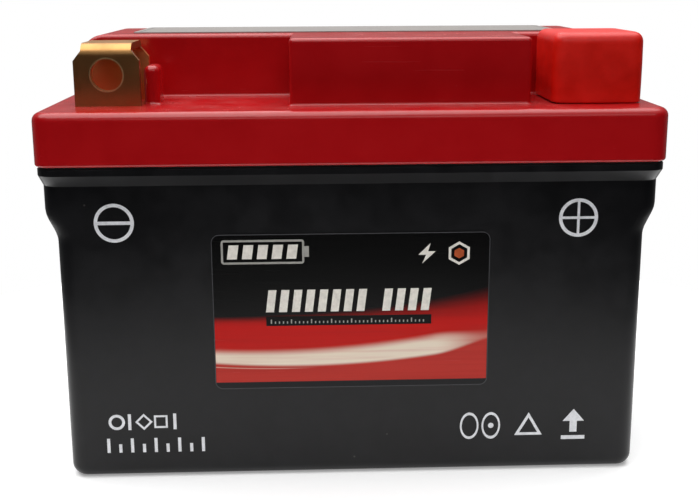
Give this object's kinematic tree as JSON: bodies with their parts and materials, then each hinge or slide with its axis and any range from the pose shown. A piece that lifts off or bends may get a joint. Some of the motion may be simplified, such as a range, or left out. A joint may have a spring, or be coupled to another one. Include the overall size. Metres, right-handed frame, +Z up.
{
  "type": "motorcycle battery",
  "caption": "Small lithium motorcycle battery: black case, red raised lid, bent brass terminals with front bolt holes, soft red cap that lifts off the positive one",
  "frame": {"origin": "middle of the case's underside", "axes": "+X along the length, from the negative terminal towards the positive one; -Y out of the front face with the polarity marks and the label; +Z up"},
  "size_m": [0.107, 0.056, 0.0784],
  "materials": {
    "case_black": "black ABS, fine gloss",
    "lid_red": "red ABS, glossy",
    "sealing_bead": "black sealing bead",
    "terminal_brass": "stamped brass strip",
    "potting": "cast epoxy",
    "cap_red": "soft red vinyl",
    "front_film": "printed film, glossy",
    "top_film": "pale grey film",
    "cell_foil": "laminated pouch foil, satin silver",
    "foam": "closed-cell foam",
    "frame_white": "white moulded plastic",
    "nickel": "nickel strip",
    "copper": "bare copper strip",
    "rivet_brass": "turned brass",
    "board_green": "green solder mask",
    "post_nylon": "white nylon",
    "screw_steel": "zinc-plated steel",
    "chip_black": "moulded epoxy",
    "resistor_black": "coated ceramic",
    "pin_tin": "tinned wire"
  },
  "bodies": {
    "battery": {"case": "case_black", "lid": "lid_red", "lid_seal": "sealing_bead", "negative_terminal": "terminal_brass", "positive_terminal": "terminal_brass", "terminal_potting": "potting", "front_label": "front_film", "top_label": "top_film", "cell_1": "cell_foil", "cell_2": "cell_foil", "cell_3": "cell_foil", "cell_4": "cell_foil", "cell_spacers": "foam", "side_pads": "foam", "end_pads": "foam", "base_pad": "foam", "cell_frame": "frame_white", "cell_tabs": "nickel", "series_links": "nickel", "negative_strap": "copper", "positive_strap": "copper", "strap_rivets": "rivet_brass", "balance_board": "board_green", "board_posts": "post_nylon", "board_screws": "screw_steel", "switch_transistors": "chip_black", "bleed_resistors": "resistor_black", "control_chip": "chip_black", "sense_pins": "pin_tin"},
    "cap": {"positive_cap": "cap_red"}
  },
  "joints": [
    {"name": "cap_lift", "type": "slide", "parent": "battery", "child": "cap", "axis": [0, 0, 1], "range_m": [0, 0.025]}
  ]
}
